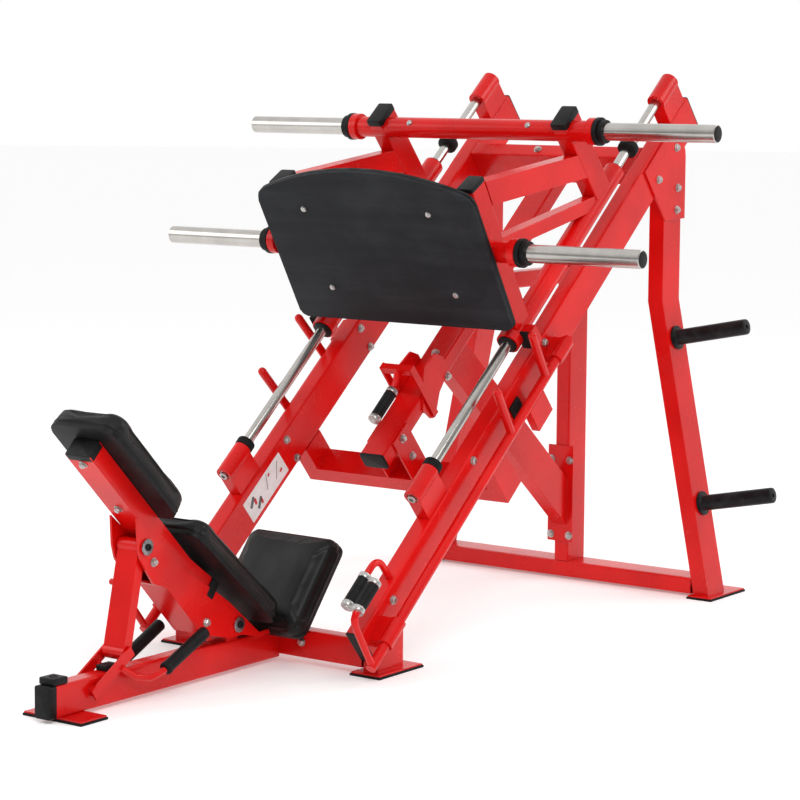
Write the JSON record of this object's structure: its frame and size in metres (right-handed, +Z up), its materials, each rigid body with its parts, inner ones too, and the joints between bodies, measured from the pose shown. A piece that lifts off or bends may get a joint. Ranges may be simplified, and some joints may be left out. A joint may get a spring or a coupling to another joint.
{
  "type": "leg press machine",
  "caption": "Inclined plate-loaded leg press: a square-tube frame with guide rods, a sliding foot-plate carriage, a reclining padded seat, stop levers and weight pegs.",
  "frame": {"origin": "middle of the footprint, on the floor", "axes": "+Y from the seat towards the high end of the rails (the longest side), +X to the user's left when seated, +Z up"},
  "size_m": [1.612, 2.4918, 1.5632],
  "materials": {
    "red_paint": "glossy red powder coat",
    "hard_chrome": "polished hard chrome",
    "black_vinyl": "satin black upholstery vinyl with fine grain",
    "black_rubber": "matt black rubber",
    "foot_plate_tread": "black rubber tread over a steel core, mottled",
    "black_horn": "black sleeve, satin",
    "black_grip": "black rubber grip on a chromed bar"
  },
  "bodies": {
    "root": {"spine": "red_paint", "front_crossbar": "red_paint", "rear_crossbar": "red_paint", "centre_column": "red_paint", "centre_post": "red_paint", "column_brace": "red_paint", "lower_crossbar": "red_paint", "foot_pad_front": "black_rubber", "foot_pad_middle_right": "black_rubber", "foot_pad_middle_left": "black_rubber", "foot_pad_rear_right": "black_rubber", "foot_pad_rear_left": "black_rubber", "front_post_right": "red_paint", "front_post_left": "red_paint", "rail_right": "red_paint", "rail_left": "red_paint", "guide_rod_right": "hard_chrome", "guide_rod_left": "hard_chrome", "rod_socket_right": "red_paint", "rod_socket_left": "red_paint", "rod_top_bracket_right": "red_paint", "rod_top_bracket_left": "red_paint", "rear_post_right": "red_paint", "rear_post_left": "red_paint", "gusset_right": "red_paint", "gusset_left": "red_paint", "storage_horn_lower_right": "black_horn", "storage_horn_lower_left": "black_horn", "storage_horn_upper_right": "black_horn", "storage_horn_upper_left": "black_horn", "fixed_handle_right": "black_grip", "fixed_handle_left": "black_grip"},
    "carriage": {"upper_cross_tube": "red_paint", "lower_cross_tube": "red_paint", "foot_plate": "foot_plate_tread", "lower_plate_mount": "red_paint", "upper_plate_mount": "red_paint", "bearing_tube_right": "red_paint", "bearing_tube_left": "red_paint", "carriage_upright_right": "red_paint", "carriage_upright_left": "red_paint", "front_arm_right": "red_paint", "front_arm_left": "red_paint", "upper_arm_right": "red_paint", "upper_arm_left": "red_paint", "carriage_brace_right": "red_paint", "carriage_brace_left": "red_paint", "weight_sleeve_upper_right": "hard_chrome", "weight_sleeve_upper_left": "hard_chrome", "weight_sleeve_lower_right": "hard_chrome", "weight_sleeve_lower_left": "hard_chrome"},
    "stop_right": {"stop_shaft_right": "red_paint"},
    "stop_left": {"stop_shaft_left": "red_paint"},
    "range_lever": {"range_stop_lever": "red_paint"},
    "lift_fork": {"lift_fork": "red_paint"},
    "strut": {"strut": "red_paint"},
    "backrest": {"back_frame": "red_paint", "back_pad_upper": "black_vinyl", "back_pad_lower": "black_vinyl", "seat_pad": "black_vinyl"}
  },
  "joints": [
    {"name": "carriage_slide", "type": "slide", "parent": "root", "child": "carriage", "axis": [0, 0.7638, 0.6455], "range_m": [-0.44, 0.08]},
    {"name": "stop_right_swing", "type": "hinge", "parent": "root", "child": "stop_right", "pos_m": [0.385, -0.10335, 0.33859], "axis": [0, 0.7638, 0.6455], "range_deg": [-8, 15]},
    {"name": "stop_left_swing", "type": "hinge", "parent": "root", "child": "stop_left", "pos_m": [-0.385, -0.10335, 0.33859], "axis": [0, -0.7638, -0.6455], "range_deg": [-8, 15]},
    {"name": "range_lever_tilt", "type": "hinge", "parent": "root", "child": "range_lever", "pos_m": [0, 0.28932, 0.60364], "axis": [-1, 0, 0], "range_deg": [0, 20]},
    {"name": "fork_lift", "type": "hinge", "parent": "root", "child": "lift_fork", "pos_m": [0, -1.10089, 0.055], "axis": [1, 0, 0], "range_deg": [0, 15]},
    {"name": "strut_swing", "type": "hinge", "parent": "lift_fork", "child": "strut", "pos_m": [0, -0.98589, 0.128], "axis": [1, 0, 0], "range_deg": [-23, 0]},
    {"name": "backrest_tilt", "type": "hinge", "parent": "root", "child": "backrest", "pos_m": [0, -0.57389, 0.134], "axis": [1, 0, 0], "range_deg": [-3, 0]}
  ],
  "couplings": [
    {"joint": "strut_swing", "follows": "fork_lift", "ratio": -1.53},
    {"joint": "backrest_tilt", "follows": "fork_lift", "ratio": -0.194}
  ]
}
